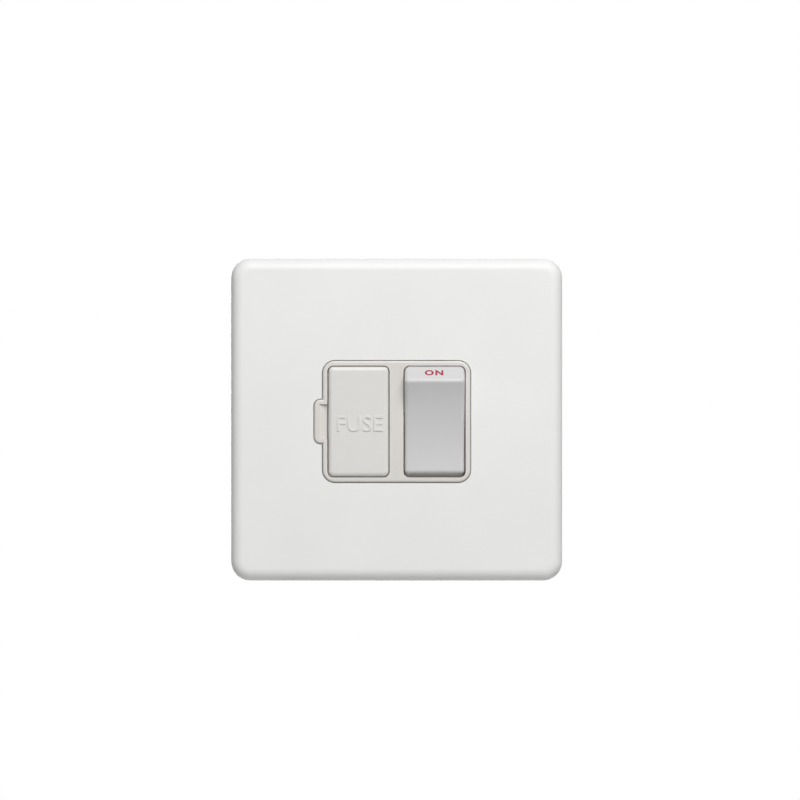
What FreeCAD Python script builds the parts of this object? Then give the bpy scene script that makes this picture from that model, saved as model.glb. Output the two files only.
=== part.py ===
import FreeCAD, Part
import math
import os
from types import SimpleNamespace

import Sketcher

# Fused spur unit: a clip-on wall plate over a mechanism with a switch rocker and a
# fuse drawer. Millimetres and degrees. The wall is the plane y = 0, the front faces
# -Y and +Z is up. The origin is midway between the two fixing holes, on the wall.
# The rocker stands at ON, top out and bottom in, and the fuse drawer is shut.

# Driving sizes. Names that end in _x or _z are places, measured from the origin.
SIZES = {
    # Cover plate
    "plate_width": 88.0,
    "plate_height": 85.6,
    "plate_depth": 7.0,
    "plate_lift": 0.5,
    "plate_corner": 5.2,
    "plate_round": 3.2,
    "plate_wall": 2.0,
    "plate_rim_gap": 0.3,
    "release_slot_width": 8.0,
    "release_slot_depth": 1.3,
    # Snap hooks of the cover and their slots in the frame
    "hook_x": 26.0,
    "hook_inset": 3.0,
    "hook_width": 7.0,
    "hook_thickness": 1.4,
    "hook_reach": 0.8,
    "hook_nose": 0.9,
    "hook_clearance": 0.25,
    # Support frame
    "frame_gap": 0.8,
    "frame_thickness": 2.2,
    "frame_corner": 3.4,
    "frame_rim_height": 1.2,
    "frame_rim_width": 1.3,
    "fixing_spacing": 60.3,
    "fixing_hole_radius": 2.1,
    "mechanism_gap": 0.25,
    # Front moulding, whose face is the bezel round two windows
    "window_width": 16.45,
    "window_strip": 3.7,
    "window_corner": 1.6,
    "bezel_rim": 1.3,
    "bezel_corner": 3.3,
    "bezel_proud": 0.5,
    "bezel_round": 0.6,
    "bezel_gap": 0.18,
    "tab_reach": 2.25,
    "tab_height": 11.7,
    "tab_corner": 1.7,
    "notch_width": 2.1,
    "notch_height": 9.2,
    "notch_depth": 1.5,
    "notch_rim": 0.25,
    "mechanism_side_border": 3.25,
    "mechanism_end_border": 5.3,
    "mechanism_corner": 2.0,
    "shoulder_gap": 0.2,
    "flange_reach": 5.0,
    "flange_thickness": 1.4,
    "parting_depth": 7.0,
    "relief_wall": 1.4,
    "relief_width": 1.7,
    "relief_floor": 1.8,
    # Screws between frame, front moulding and rear housing
    "frame_screw_x": 16.0,
    "frame_screw_inset": 2.7,
    "frame_screw_radius": 1.3,
    "frame_screw_head_radius": 2.2,
    "frame_screw_head_height": 1.1,
    "frame_screw_recess": 0.2,
    "housing_screw_inset": 2.4,
    "housing_screw_z": 9.0,
    "housing_screw_radius": 1.2,
    "housing_screw_head_radius": 2.0,
    "housing_screw_head_height": 1.5,
    "housing_screw_grip": 5.0,
    "housing_screw_bite": 7.0,
    "screw_clearance": 0.1,
    "screw_hole_spare": 0.5,
    "screw_slot_width": 0.7,
    # Rear housing
    "housing_depth": 15.5,
    "housing_wall": 1.6,
    "partition_thickness": 1.2,
    "partition_reach": 3.0,
    "pillar_margin": 0.4,
    "pillar_end_gap": 1.5,
    "screw_column_wall": 0.7,
    "wire_hole_radius": 2.3,
    "driver_hole_radius": 2.9,
    # Switch rocker
    "rocker_end_gap": 0.3,
    "rocker_side_gap": 0.25,
    "rocker_swing": 20.0,
    "rocker_pivot_depth": 5.5,
    "rocker_ridge_inset": 2.4,
    "rocker_ridge_rise": 2.1,
    "rocker_heel_depth": 2.9,
    "rocker_hollow": 1.8,
    "rocker_skirt": 1.6,
    "rocker_wall": 1.5,
    "rocker_round": 1.0,
    "trunnion_radius": 1.5,
    "trunnion_length": 1.25,
    "trunnion_clearance": 0.05,
    "trunnion_end_gap": 0.2,
    # Plungers and springs inside the rocker
    "plunger_radius": 1.5,
    "plunger_nose": 0.7,
    "plunger_clearance": 0.12,
    "plunger_gap": 0.3,
    "socket_wall": 0.9,
    "socket_setback": 3.0,
    "spring_length": 7.6,
    "spring_wire_radius": 0.2,
    "spring_clearance": 0.1,
    "spring_turns": 4.0,
    # Moving contacts
    "bar_swing": 18.0,
    "bar_width": 4.0,
    "bar_thickness": 0.9,
    "bar_tail": 5.0,
    "bar_pin_radius": 0.55,
    "contact_arm": 9.0,
    "contact_gap": 0.12,
    "contact_margin": 0.5,
    "tip_radius": 1.5,
    "tip_height": 0.8,
    "strip_thickness": 0.9,
    "strip_width": 4.6,
    "strip_lap": 1.0,
    "cradle_clearance": 0.15,
    "cradle_ear": 0.8,
    "cradle_lip": 0.5,
    "cradle_drop": 1.4,
    "pin_clearance": 0.1,
    # Terminals
    "terminal_width": 6.8,
    "terminal_height": 8.1,
    "terminal_depth": 8.0,
    "terminal_side_gap": 0.05,
    "terminal_end_gap": 0.3,
    "terminal_chamfer": 0.4,
    "terminal_bore_radius": 2.0,
    "terminal_bore_wall": 0.7,
    "earth_pitch": 7.0,
    "terminal_screw_radius": 1.7,
    "terminal_screw_head_radius": 2.6,
    "terminal_screw_head_height": 1.3,
    "terminal_screw_length": 3.2,
    # Fuse and its drawer
    "fuse_depth": 8.5,
    "fuse_length": 25.4,
    "fuse_radius": 3.175,
    "fuse_cap_length": 5.5,
    "fuse_cap_wall": 0.3,
    "fuse_clearance": 0.1,
    "barrel_clearance": 0.03,
    "drawer_gap": 0.2,
    "drawer_end_wall": 1.7,
    "drawer_proud": 0.6,
    "drawer_round": 1.2,
    "drawer_head": 3.6,
    "drawer_side": 1.7,
    "drawer_wall_reach": 1.5,
    "drawer_tail_depth": 13.5,
    "cradle_width": 9.2,
    "cradle_height": 11.0,
    "cradle_grip": 1.5,
    "clip_thickness": 0.7,
    "clip_width": 4.2,
    "clip_leg_width": 5.55,
    "clip_jaw_reach": 2.5,
    "clip_jaw_flare": 0.7,
    "prise_slot_depth": 0.9,
    "prise_slot_height": 8.0,
}

# How far a cut runs past the face that it opens, what counts as no distance, and how
# many flats the spring's wire has
OVERCUT = 1.0
TINY = 1e-4
WIRE_SIDES = 6


class Length:
    """A number together with the sheet expression that gives it."""

    def __init__(self, value, text):
        self.value = value
        self.text = text

    def __add__(self, other):
        other = as_length(other)
        return Length(self.value + other.value, f"({self.text} + {other.text})")

    def __sub__(self, other):
        other = as_length(other)
        return Length(self.value - other.value, f"({self.text} - {other.text})")

    def __mul__(self, other):
        other = as_length(other)
        return Length(self.value * other.value, f"({self.text} * {other.text})")

    def __truediv__(self, other):
        other = as_length(other)
        return Length(self.value / other.value, f"({self.text} / {other.text})")

    def __radd__(self, other):
        return as_length(other) + self

    def __rsub__(self, other):
        return as_length(other) - self

    def __rmul__(self, other):
        return as_length(other) * self

    def __neg__(self):
        return Length(-self.value, f"(0 - {self.text})")


def as_length(number):
    """Give a plain number the same form as a size from the sheet."""
    if isinstance(number, Length):
        return number
    return Length(float(number), f"({float(number)!r})")


def cosine(angle):
    """Give the cosine of an angle in degrees."""
    return Length(math.cos(math.radians(angle.value)), f"cos({angle.text} * 1 deg)")


def sine(angle):
    """Give the sine of an angle in degrees."""
    return Length(math.sin(math.radians(angle.value)), f"sin({angle.text} * 1 deg)")


def root(square):
    """Give a square root."""
    return Length(math.sqrt(square.value), f"sqrt({square.text})")


def hypotenuse(first, second):
    """Give the long side over two sides at right angles."""
    return root(first * first + second * second)


document = FreeCAD.newDocument("FusedSpurUnit")
sheet = document.addObject("Spreadsheet::Sheet", "Sizes")
for row, (alias, number) in enumerate(SIZES.items(), start=1):
    sheet.set(f"A{row}", alias)
    sheet.set(f"B{row}", str(number))
    sheet.setAlias(f"B{row}", alias)
document.recompute()

size = SimpleNamespace(**{alias: Length(number, f"Sizes.{alias}") for alias, number in SIZES.items()})
ZERO = as_length(0)

# The fuse sets the height of the windows, and the windows set the size of the mechanism
drawer_height = size.fuse_length + (size.fuse_clearance * 2 + size.drawer_end_wall) * 2
window_height = drawer_height + size.drawer_gap * 2
rocker_x = (size.window_width + size.window_strip) / 2
drawer_x = -rocker_x
bezel_width = size.window_width * 2 + size.window_strip + size.bezel_rim * 2
bezel_height = window_height + size.bezel_rim * 2
mechanism_width = bezel_width + size.mechanism_side_border * 2
mechanism_height = bezel_height + size.mechanism_end_border * 2
flange_height = mechanism_height + size.flange_reach * 2
frame_width = size.plate_width - (size.plate_wall + size.frame_gap) * 2
frame_height = size.plate_height - (size.plate_wall + size.frame_gap) * 2
hook_z = frame_height / 2 - size.hook_inset
frame_screw_z = mechanism_height / 2 + size.frame_screw_inset
housing_screw_x = mechanism_width / 2 - size.housing_screw_inset

# Planes along Y, from the front to the back
plate_face_y = -size.plate_depth
plate_inner_y = plate_face_y + size.plate_wall
bezel_y = plate_face_y - size.bezel_proud
shoulder_y = plate_inner_y + size.shoulder_gap
frame_front_y = -size.frame_thickness
flange_y = frame_front_y - size.flange_thickness
pivot_y = bezel_y + size.rocker_pivot_depth
parting_y = size.parting_depth
housing_y = parting_y + size.housing_depth
housing_inner_y = housing_y - size.housing_wall
terminal_y = housing_inner_y - size.terminal_depth
wire_y = terminal_y + size.terminal_bore_wall + size.terminal_bore_radius
fuse_y = bezel_y + size.fuse_depth
clip_base_y = fuse_y + size.fuse_radius + size.fuse_clearance

# The poles lie as far apart as two terminals with a partition between them
pole_pitch = size.terminal_width + size.partition_thickness + size.terminal_side_gap * 2
POLES = {"live": rocker_x - pole_pitch / 2, "neutral": rocker_x + pole_pitch / 2}
terminal_z = mechanism_height / 2 - size.housing_wall - size.terminal_end_gap - size.terminal_height / 2
terminal_inner_z = terminal_z - size.terminal_height / 2
clip_z = (size.fuse_length - size.fuse_cap_length) / 2
jaw_outer = size.fuse_radius + size.fuse_clearance + size.clip_thickness

# The rocker's ends are arcs about its pivot, and so is the room that they swing in
rocker_width = size.window_width - size.rocker_side_gap * 2
rocker_tilt = size.rocker_swing / 2
end_radius = hypotenuse(window_height / 2 - size.rocker_end_gap, size.rocker_pivot_depth)
swing_radius = hypotenuse(window_height / 2, size.rocker_pivot_depth)

# The moving contact turns about a pin that lies so far in front of the fixed
# contact that the two tips just miss each other when the switch is at ON
bar_tilt = size.bar_swing / 2
fixed_strip_y = terminal_y - size.strip_thickness
fixed_tip_y = fixed_strip_y - size.tip_height
tip_reach = (size.bar_thickness / 2 + size.tip_height) * cosine(bar_tilt) + (
    size.contact_arm + size.tip_radius) * sine(bar_tilt)
bar_y = fixed_tip_y - size.contact_gap - tip_reach
bracket_y = bar_y + size.cradle_drop
bracket_back_y = bracket_y + size.strip_thickness

# Planes of the rocker's own parts, measured from its pivot towards the back
ridge_front = -(size.rocker_pivot_depth + size.rocker_ridge_rise)
socket_floor = ridge_front + size.rocker_hollow + size.rocker_wall * 3 / 2
plunger_tip = bar_y - size.bar_thickness / 2 - size.plunger_gap - pivot_y
plunger_front = socket_floor + size.spring_length


def new_body(name):
    """Start a body whose label names its node."""
    body = document.addObject("PartDesign::Body", name)
    body.Label = name
    return body


def sketch_on(body, name, role, offset):
    """Attach a new sketch to one of the body's origin planes, moved along its normal."""
    sketch = body.newObject("Sketcher::SketchObject", name)
    plane = next(feature for feature in body.Origin.OriginFeatures if feature.Role == role)
    sketch.AttachmentSupport = [(plane, "")]
    sketch.MapMode = "FlatFace"
    sketch.setExpression(".AttachmentOffset.Base.z", offset.text)
    return sketch


def bind(sketch, kind, places, length):
    """Add a dimension to a sketch and tie it to its expression."""
    index = sketch.addConstraint(Sketcher.Constraint(kind, *places, length.value))
    name = f"d{index}"
    sketch.renameConstraint(index, name)
    sketch.setExpression(f"Constraints.{name}", length.text)


def bind_point(sketch, geometry, end, u, v):
    """Tie one end of a line or arc to its two coordinates."""
    bind(sketch, "DistanceX", (-1, 1, geometry, end), u)
    bind(sketch, "DistanceY", (-1, 1, geometry, end), v)


def rectangle(left, right, low, high):
    """Describe a plain rectangle to be drawn in a sketch."""
    return polygon([(left, low), (right, low), (right, high), (left, high)])


def centred(centre_u, centre_v, width, height):
    """Describe a rectangle about its centre."""
    return rectangle(centre_u - width / 2, centre_u + width / 2, centre_v - height / 2, centre_v + height / 2)


def polygon(corners):
    """Describe an outline of straight lines."""
    return lambda sketch: draw_polygon(sketch, [(as_length(u), as_length(v)) for u, v in corners])


def circle(centre_u, centre_v, radius):
    """Describe a circle."""
    return lambda sketch: draw_circle(sketch, as_length(centre_u), as_length(centre_v), radius)


def rounded(centre_u, centre_v, width, height, corner):
    """Describe a rectangle about its centre, with four round corners."""
    return lambda sketch: draw_rounded(sketch, centre_u - width / 2, centre_u + width / 2,
                                       centre_v - height / 2, centre_v + height / 2, corner)


def arch(left, right, high, corner):
    """Describe a rectangle that stands on the line v = 0 and has its two upper corners round."""
    return lambda sketch: draw_arch(sketch, left, right, high, corner)


def draw_polygon(sketch, corners):
    """Draw an outline of straight lines with every corner tied."""
    points = [FreeCAD.Vector(u.value, v.value, 0) for u, v in corners]
    count = len(points)
    lines = [Part.LineSegment(points[i], points[(i + 1) % count]) for i in range(count)]
    first = sketch.addGeometry(lines, False)[0]
    for i in range(count):
        sketch.addConstraint(Sketcher.Constraint("Coincident", first + i, 2, first + (i + 1) % count, 1))
    for i, (u, v) in enumerate(corners):
        bind_point(sketch, first + i, 1, u, v)


def draw_circle(sketch, centre_u, centre_v, radius):
    """Draw a circle with its centre and radius tied."""
    centre = FreeCAD.Vector(centre_u.value, centre_v.value, 0)
    ring = sketch.addGeometry(Part.Circle(centre, FreeCAD.Vector(0, 0, 1), radius.value), False)
    bind_point(sketch, ring, 3, centre_u, centre_v)
    bind(sketch, "Radius", (ring,), radius)


def corner_arc(centre_u, centre_v, radius, start):
    """Give a quarter of a circle that starts at an angle in degrees."""
    ring = Part.Circle(FreeCAD.Vector(centre_u, centre_v, 0), FreeCAD.Vector(0, 0, 1), radius)
    return Part.ArcOfCircle(ring, math.radians(start), math.radians(start + 90))


def draw_rounded(sketch, left, right, low, high, corner):
    """Draw a rectangle with four round corners."""
    u0, u1, v0, v1, r = left.value, right.value, low.value, high.value, corner.value
    point = FreeCAD.Vector
    sides = [
        Part.LineSegment(point(u0 + r, v0), point(u1 - r, v0)),
        Part.LineSegment(point(u1, v0 + r), point(u1, v1 - r)),
        Part.LineSegment(point(u1 - r, v1), point(u0 + r, v1)),
        Part.LineSegment(point(u0, v1 - r), point(u0, v0 + r)),
    ]
    arcs = [corner_arc(u1 - r, v0 + r, r, -90), corner_arc(u1 - r, v1 - r, r, 0),
            corner_arc(u0 + r, v1 - r, r, 90), corner_arc(u0 + r, v0 + r, r, 180)]
    count = len(sides)
    first = sketch.addGeometry(sides + arcs, False)[0]
    for i in range(count):
        arc = first + count + i
        sketch.addConstraint(Sketcher.Constraint("Tangent", first + i, 2, arc, 1))
        sketch.addConstraint(Sketcher.Constraint("Tangent", arc, 2, first + (i + 1) % count, 1))
        sketch.addConstraint(Sketcher.Constraint("Vertical" if i % 2 else "Horizontal", first + i))
    for i in range(1, count):
        sketch.addConstraint(Sketcher.Constraint("Equal", first + count, first + count + i))
    bind(sketch, "Radius", (first + count,), corner)
    bind(sketch, "DistanceY", (-1, 1, first, 1), low)
    bind(sketch, "DistanceX", (-1, 1, first + 1, 1), right)
    bind(sketch, "DistanceY", (-1, 1, first + 2, 1), high)
    bind(sketch, "DistanceX", (-1, 1, first + 3, 1), left)


def draw_arch(sketch, left, right, high, corner):
    """Draw a rectangle on the line v = 0 with its two upper corners round."""
    u0, u1, v1, r = left.value, right.value, high.value, corner.value
    point = FreeCAD.Vector
    base, right_side, right_arc, top, left_arc, left_side = sketch.addGeometry([
        Part.LineSegment(point(u0, 0), point(u1, 0)),
        Part.LineSegment(point(u1, 0), point(u1, v1 - r)),
        corner_arc(u1 - r, v1 - r, r, 0),
        Part.LineSegment(point(u1 - r, v1), point(u0 + r, v1)),
        corner_arc(u0 + r, v1 - r, r, 90),
        Part.LineSegment(point(u0, v1 - r), point(u0, 0)),
    ], False)
    sketch.addConstraint(Sketcher.Constraint("Coincident", base, 2, right_side, 1))
    sketch.addConstraint(Sketcher.Constraint("Coincident", left_side, 2, base, 1))
    for earlier, later in ((right_side, right_arc), (right_arc, top), (top, left_arc), (left_arc, left_side)):
        sketch.addConstraint(Sketcher.Constraint("Tangent", earlier, 2, later, 1))
    sketch.addConstraint(Sketcher.Constraint("Vertical", right_side))
    sketch.addConstraint(Sketcher.Constraint("Vertical", left_side))
    sketch.addConstraint(Sketcher.Constraint("Equal", right_arc, left_arc))
    bind_point(sketch, base, 1, left, ZERO)
    bind_point(sketch, base, 2, right, ZERO)
    bind(sketch, "DistanceY", (-1, 1, top, 1), high)
    bind(sketch, "Radius", (right_arc,), corner)


def extrude(body, kind, name, sketch, shapes, length, reverse, midplane):
    """Pad or pocket a sketch by a bound length."""
    for draw in shapes:
        draw(sketch)
    feature = body.newObject(kind, name)
    feature.Profile = sketch
    feature.Reversed = reverse
    feature.Midplane = midplane
    feature.setExpression("Length", length.text)
    return feature


def slab(body, name, front, back, *shapes):
    """Add material between two planes of y, with outlines drawn in x and z."""
    sketch = sketch_on(body, f"{name}Outline", "XZ_Plane", -front)
    return extrude(body, "PartDesign::Pad", name, sketch, shapes, back - front, True, False)


def well(body, name, front, back, *shapes):
    """Cut material away between two planes of y, with outlines drawn in x and z."""
    sketch = sketch_on(body, f"{name}Outline", "XZ_Plane", -front)
    return extrude(body, "PartDesign::Pocket", name, sketch, shapes, back - front, False, False)


def rib(body, name, middle_x, width, *shapes):
    """Add material to both sides of a plane of x, with outlines drawn in y and z."""
    sketch = sketch_on(body, f"{name}Outline", "YZ_Plane", middle_x)
    return extrude(body, "PartDesign::Pad", name, sketch, shapes, width, False, True)


def slot(body, name, middle_x, width, *shapes):
    """Cut material away on both sides of a plane of x, with outlines drawn in y and z."""
    sketch = sketch_on(body, f"{name}Outline", "YZ_Plane", middle_x)
    return extrude(body, "PartDesign::Pocket", name, sketch, shapes, width, False, True)


def layer(body, name, middle_z, height, *shapes):
    """Add material to both sides of a plane of z, with outlines drawn in x and y."""
    sketch = sketch_on(body, f"{name}Outline", "XY_Plane", middle_z)
    return extrude(body, "PartDesign::Pad", name, sketch, shapes, height, False, True)


def shaft(body, name, middle_z, height, *shapes):
    """Cut material away on both sides of a plane of z, with outlines drawn in x and y."""
    sketch = sketch_on(body, f"{name}Outline", "XY_Plane", middle_z)
    return extrude(body, "PartDesign::Pocket", name, sketch, shapes, height, False, True)


def turned(body, kind, name, sketch, draw):
    """Add or cut what an outline sweeps in a full turn about its sketch's first axis."""
    draw(sketch)
    feature = body.newObject(kind, name)
    feature.Profile = sketch
    feature.ReferenceAxis = (sketch, ["H_Axis"])
    feature.Angle = 360
    return feature


def revolve(body, name, draw):
    """Turn an outline, drawn as y along and z outward, about the Y axis."""
    sketch = sketch_on(body, f"{name}Outline", "YZ_Plane", ZERO)
    return turned(body, "PartDesign::Revolution", name, sketch, draw)


def round_edges(body, kind, name, radius, chosen):
    """Fillet or chamfer the edges of the newest feature that a test picks out."""
    document.recompute()
    base = body.Tip
    names = [f"Edge{i + 1}" for i, edge in enumerate(base.Shape.Edges) if chosen(edge)]
    feature = body.newObject(kind, name)
    feature.Base = (base, names)
    feature.setExpression("Radius" if kind.endswith("Fillet") else "Size", radius.text)
    return feature


def lies_at_y(edge, y):
    """Tell whether an edge lies in one plane of y."""
    return edge.BoundBox.YLength < TINY and abs(edge.BoundBox.YMin - y.value) < TINY


def place(item, x, y, z, turn=ZERO):
    """Put an object at bound coordinates, turned about the X direction."""
    rotation = FreeCAD.Rotation(FreeCAD.Vector(1, 0, 0), abs(turn.value))
    item.Placement = FreeCAD.Placement(FreeCAD.Vector(), rotation)
    if turn.value:
        item.setExpression("Placement.Rotation.Angle", f"{turn.text} * 1 deg")
    for letter, length in zip("xyz", (x, y, z)):
        item.setExpression(f"Placement.Base.{letter}", length.text)


def four_places(x, z):
    """Give the four places that mirror one another about the middle."""
    return [(side_x * x, side_z * z) for side_x in (-1, 1) for side_z in (-1, 1)]


def hook_outlines(width, thickness, reach):
    """Describe each hook's leg, or its nose where it reaches outward, by its outer sizes."""
    return [centred(x, size.plate_lift + z, width, thickness + reach)
            for x, z in four_places(size.hook_x, hook_z + reach / 2)]


def front_plate():
    """The clip-on cover: a shallow shell with one aperture and four snap hooks."""
    body = new_body("front_plate")
    lift = size.plate_lift
    rim_y = -size.plate_rim_gap
    slab(body, "Block", plate_face_y, rim_y,
         rounded(ZERO, lift, size.plate_width, size.plate_height, size.plate_corner))
    round_edges(body, "PartDesign::Fillet", "FrontRound", size.plate_round,
                lambda edge: lies_at_y(edge, plate_face_y))
    well(body, "Hollow", plate_inner_y, rim_y,
         rounded(ZERO, lift, size.plate_width - size.plate_wall * 2,
                 size.plate_height - size.plate_wall * 2, size.plate_corner - size.plate_wall))
    gap = size.bezel_gap
    well(body, "Aperture", plate_face_y, plate_inner_y,
         rounded(ZERO, ZERO, bezel_width + gap * 2, bezel_height + gap * 2, size.bezel_corner + gap))
    well(body, "TabAperture", plate_face_y, plate_inner_y, tab_outline(gap))
    hook_y = frame_front_y + size.hook_clearance + size.hook_nose
    hook_end = hook_y + size.hook_nose
    slab(body, "HookLegs", plate_inner_y, hook_end,
         *hook_outlines(size.hook_width, size.hook_thickness, ZERO))
    slab(body, "HookNoses", hook_y, hook_end,
         *hook_outlines(size.hook_width, size.hook_thickness, size.hook_reach))
    low_edge = lift - size.plate_height / 2
    well(body, "ReleaseSlot", rim_y - size.release_slot_depth, rim_y,
         rectangle(-size.release_slot_width / 2, size.release_slot_width / 2,
                   low_edge - OVERCUT, low_edge + size.plate_wall))
    return body


def tab_outline(gap):
    """Describe the tab at the left of the bezel, grown by a gap."""
    left = -(bezel_width / 2 + size.tab_reach + gap)
    right = -(bezel_width / 2 - size.bezel_corner)
    return rounded((left + right) / 2, ZERO, right - left, size.tab_height + gap * 2, size.tab_corner + gap)


def support_frame():
    """The frame that the two fixing screws hold to the wall."""
    body = new_body("support_frame")
    lift = size.plate_lift
    slab(body, "Sheet", frame_front_y, ZERO,
         rounded(ZERO, lift, frame_width, frame_height, size.frame_corner))
    rim = size.frame_rim_width
    slab(body, "Rim", frame_front_y - size.frame_rim_height, frame_front_y,
         rounded(ZERO, lift, frame_width, frame_height, size.frame_corner),
         rounded(ZERO, lift, frame_width - rim * 2, frame_height - rim * 2, size.frame_corner - rim))
    gap = size.mechanism_gap
    well(body, "Opening", frame_front_y, ZERO,
         rounded(ZERO, ZERO, mechanism_width + gap * 2, mechanism_height + gap * 2,
                 size.mechanism_corner + gap))
    well(body, "FixingHoles", frame_front_y, ZERO,
         *[circle(side * size.fixing_spacing / 2, ZERO, size.fixing_hole_radius) for side in (-1, 1)])
    well(body, "ScrewHoles", frame_front_y, ZERO,
         *[circle(x, z, size.frame_screw_radius + size.screw_clearance) for x, z in frame_screw_places()])
    play = size.hook_clearance * 2
    slot_width = size.hook_width + play
    slot_height = size.hook_thickness + play
    well(body, "HookSlots", frame_front_y, ZERO, *hook_outlines(slot_width, slot_height, ZERO))
    well(body, "HookRecesses", frame_front_y + size.hook_nose, ZERO,
         *hook_outlines(slot_width, slot_height, size.hook_reach))
    return body


def frame_screw_places():
    """Give the x and z of each screw between the frame and the front moulding."""
    return four_places(size.frame_screw_x, frame_screw_z)


def housing_screw_places():
    """Give the x and z of each screw between the two mouldings."""
    return four_places(housing_screw_x, size.housing_screw_z)


def front_moulding():
    """The bezel with its two windows, the rocker bearings and the drawer's tunnel."""
    body = new_body("front_moulding")
    slab(body, "Box", shoulder_y, parting_y,
         rounded(ZERO, ZERO, mechanism_width, mechanism_height, size.mechanism_corner))
    slab(body, "Flange", flange_y, frame_front_y,
         rounded(ZERO, ZERO, mechanism_width, flange_height, size.mechanism_corner))
    slab(body, "Bezel", bezel_y, shoulder_y,
         rounded(ZERO, ZERO, bezel_width, bezel_height, size.bezel_corner))
    slab(body, "Tab", bezel_y, shoulder_y, tab_outline(ZERO))
    round_edges(body, "PartDesign::Fillet", "BezelRound", size.bezel_round,
                lambda edge: lies_at_y(edge, bezel_y))
    well(body, "Windows", bezel_y, parting_y,
         *[rounded(x, ZERO, size.window_width, window_height, size.window_corner)
           for x in (drawer_x, rocker_x)])
    room = sketch_on(body, "RockerSwingRoomOutline", "XZ_Plane", -pivot_y)
    turned(body, "PartDesign::Groove", "RockerSwingRoom", room,
           arch(rocker_x - size.window_width / 2, rocker_x + size.window_width / 2, swing_radius,
                size.window_corner))
    slot(body, "TrunnionBores", rocker_x, rocker_width + (size.trunnion_length + size.trunnion_end_gap) * 2,
         circle(pivot_y, ZERO, size.trunnion_radius + size.trunnion_clearance))
    window_left = drawer_x - size.window_width / 2
    notch_left = window_left - size.notch_width
    notch_right = window_left + size.window_corner / 2
    shaft(body, "PriseNotch", ZERO, size.notch_height,
          polygon([(notch_left, bezel_y - OVERCUT), (notch_right, bezel_y - OVERCUT),
                   (notch_right, bezel_y + size.notch_depth), (notch_left, bezel_y + size.notch_rim)]))
    well(body, "HousingScrewHoles", parting_y - size.housing_screw_bite - size.screw_hole_spare, parting_y,
         *[circle(x, z, size.housing_screw_radius + size.screw_clearance) for x, z in housing_screw_places()])
    well(body, "FrameScrewHoles", flange_y, frame_front_y,
         *[circle(x, z, size.frame_screw_radius + size.screw_clearance) for x, z in frame_screw_places()])
    well(body, "Reliefs", shoulder_y + size.relief_floor, parting_y, *relief_outlines())
    return body


def relief_outlines():
    """Describe the pockets that keep the front moulding's walls at an even thickness."""
    wall = size.relief_wall
    outer = mechanism_width / 2 - wall
    inner = outer - size.relief_width
    low = size.housing_screw_z + size.housing_screw_head_radius + wall
    high = mechanism_height / 2 - wall
    side_high = high - size.mechanism_corner / 2
    run = inner - wall
    outlines = []
    for side_x, side_z in four_places(1, 1):
        middle = side_x * (outer + inner) / 2
        outlines.append(rectangle(middle - size.relief_width / 2, middle + size.relief_width / 2,
                                  side_z * low, side_z * side_high))
    for side in (-1, 1):
        outlines.append(rectangle(-run, run, side * (swing_radius + wall), side * high))
    return outlines


def rear_housing():
    """The base: a tray with pillars for the contacts, wire ways and driver holes."""
    body = new_body("rear_housing")
    width = mechanism_width
    height = mechanism_height
    wall = size.housing_wall
    slab(body, "Box", parting_y, housing_y, rounded(ZERO, ZERO, width, height, size.mechanism_corner))
    well(body, "Tray", parting_y, housing_inner_y,
         rounded(ZERO, ZERO, width - wall * 2, height - wall * 2, size.mechanism_corner - wall / 2))
    pillar_width = size.strip_width + size.pillar_margin * 2
    pillar_high = terminal_inner_z - size.pillar_end_gap * 2
    pillars = [centred(x, ZERO, pillar_width, pillar_high) for x in POLES.values()]
    pillars.append(rectangle(drawer_x - size.strip_width / 2, drawer_x + size.strip_width / 2,
                             -size.strip_width / 2, clip_z + size.clip_width / 2 - size.pillar_end_gap))
    slab(body, "Pillars", bracket_back_y, housing_inner_y, *pillars)
    inner_z = terminal_inner_z - size.strip_lap
    outer_z = height / 2 - wall
    half = size.partition_thickness / 2
    partitions = []
    for x in (ZERO, rocker_x):
        for side in (-1, 1):
            partitions.append(rectangle(x - half, x + half, side * inner_z, side * outer_z))
    slab(body, "Partitions", terminal_y - size.partition_reach, housing_inner_y, *partitions)
    reach = size.housing_screw_head_radius + size.screw_column_wall
    column_width = width / 2 - wall - housing_screw_x + reach
    column_x = width / 2 - wall - column_width / 2
    slab(body, "ScrewColumns", parting_y, housing_inner_y,
         *[centred(x, z, column_width, reach * 2) for x, z in four_places(column_x, size.housing_screw_z)])
    well(body, "ScrewHoles", parting_y, housing_y,
         *[circle(x, z, size.housing_screw_radius + size.screw_clearance) for x, z in housing_screw_places()])
    well(body, "ScrewSinks", parting_y + size.housing_screw_grip, housing_y,
         *[circle(x, z, size.housing_screw_head_radius + size.screw_clearance)
           for x, z in housing_screw_places()])
    well(body, "DriverHoles", housing_inner_y, housing_y,
         *[circle(x, z, size.driver_hole_radius) for x, z in terminal_screw_places()])
    for side, name in ((1, "UpperWireWays"), (-1, "LowerWireWays")):
        shaft(body, name, side * height / 2, (wall + OVERCUT) * 2,
              *[circle(x, wire_y, size.wire_hole_radius) for x in wire_places(side)])
    return body


def wire_places(side):
    """Give the x of each wire way in the top (1) or the bottom (-1) of the housing."""
    if side > 0:
        return [POLES["live"], POLES["neutral"],
                drawer_x - size.earth_pitch / 2, drawer_x + size.earth_pitch / 2]
    return [drawer_x, POLES["neutral"]]


def terminal_screw_places():
    """Give the x and z of each terminal screw."""
    return [(x, side * terminal_z) for side in (1, -1) for x in wire_places(side)]


def bolt(name, x, y, z, head_radius, head_height, radius, length, turn):
    """A slotted screw whose head stands on the plane y, driven towards the back before its turn."""
    body = new_body(name)
    revolve(body, "Shape", polygon([
        (-head_height, ZERO), (-head_height, head_radius), (ZERO, head_radius), (ZERO, radius),
        (length, radius), (length, ZERO)]))
    well(body, "DriverSlot", -head_height, -head_height / 2,
         centred(ZERO, ZERO, (head_radius + OVERCUT) * 2, size.screw_slot_width))
    place(body, x, y, z, as_length(turn))
    return body


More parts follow.
